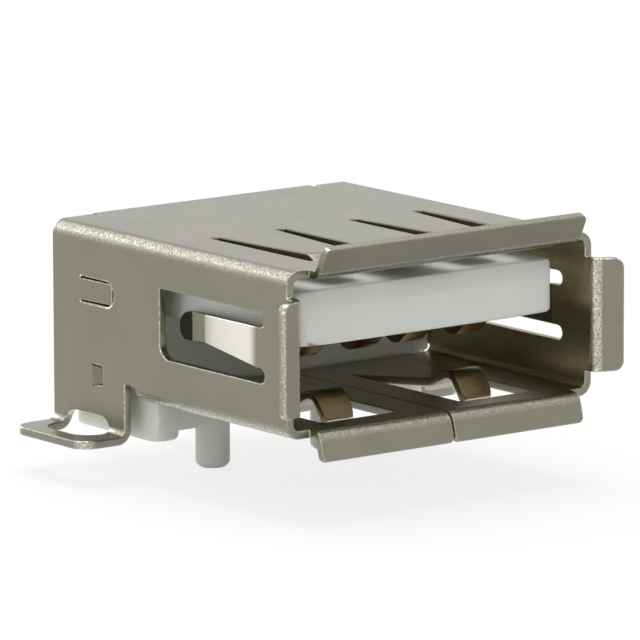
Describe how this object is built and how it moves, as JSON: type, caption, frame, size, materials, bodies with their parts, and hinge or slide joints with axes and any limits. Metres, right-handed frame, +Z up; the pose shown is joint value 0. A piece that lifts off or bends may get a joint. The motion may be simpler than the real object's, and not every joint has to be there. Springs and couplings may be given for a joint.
{
  "type": "usb-a socket",
  "caption": "Right-angle, surface-mounted USB-A socket: folded, flared metal shell with spring fingers round a moulded tongue that carries formed contacts, with solder feet and locating pegs.",
  "frame": {"origin": "on the circuit board's upper face, midway between the axes of the two locating pegs", "axes": "+Z up from the board, -Y the way the mouth faces, +X to the right as one looks into the mouth"},
  "size_m": [0.0166, 0.0156, 0.0095],
  "materials": {
    "shell": "nickel-plated, pressed and folded sheet, satin",
    "housing": "moulded, heat-resistant thermoplastic, off-white",
    "contact": "copper alloy strip with a thin gold flash"
  },
  "bodies": {
    "root": {"shell": "shell", "housing": "housing", "contact_power": "contact", "contact_data_minus": "contact", "contact_data_plus": "contact", "contact_ground": "contact"}
  },
  "joints": []
}
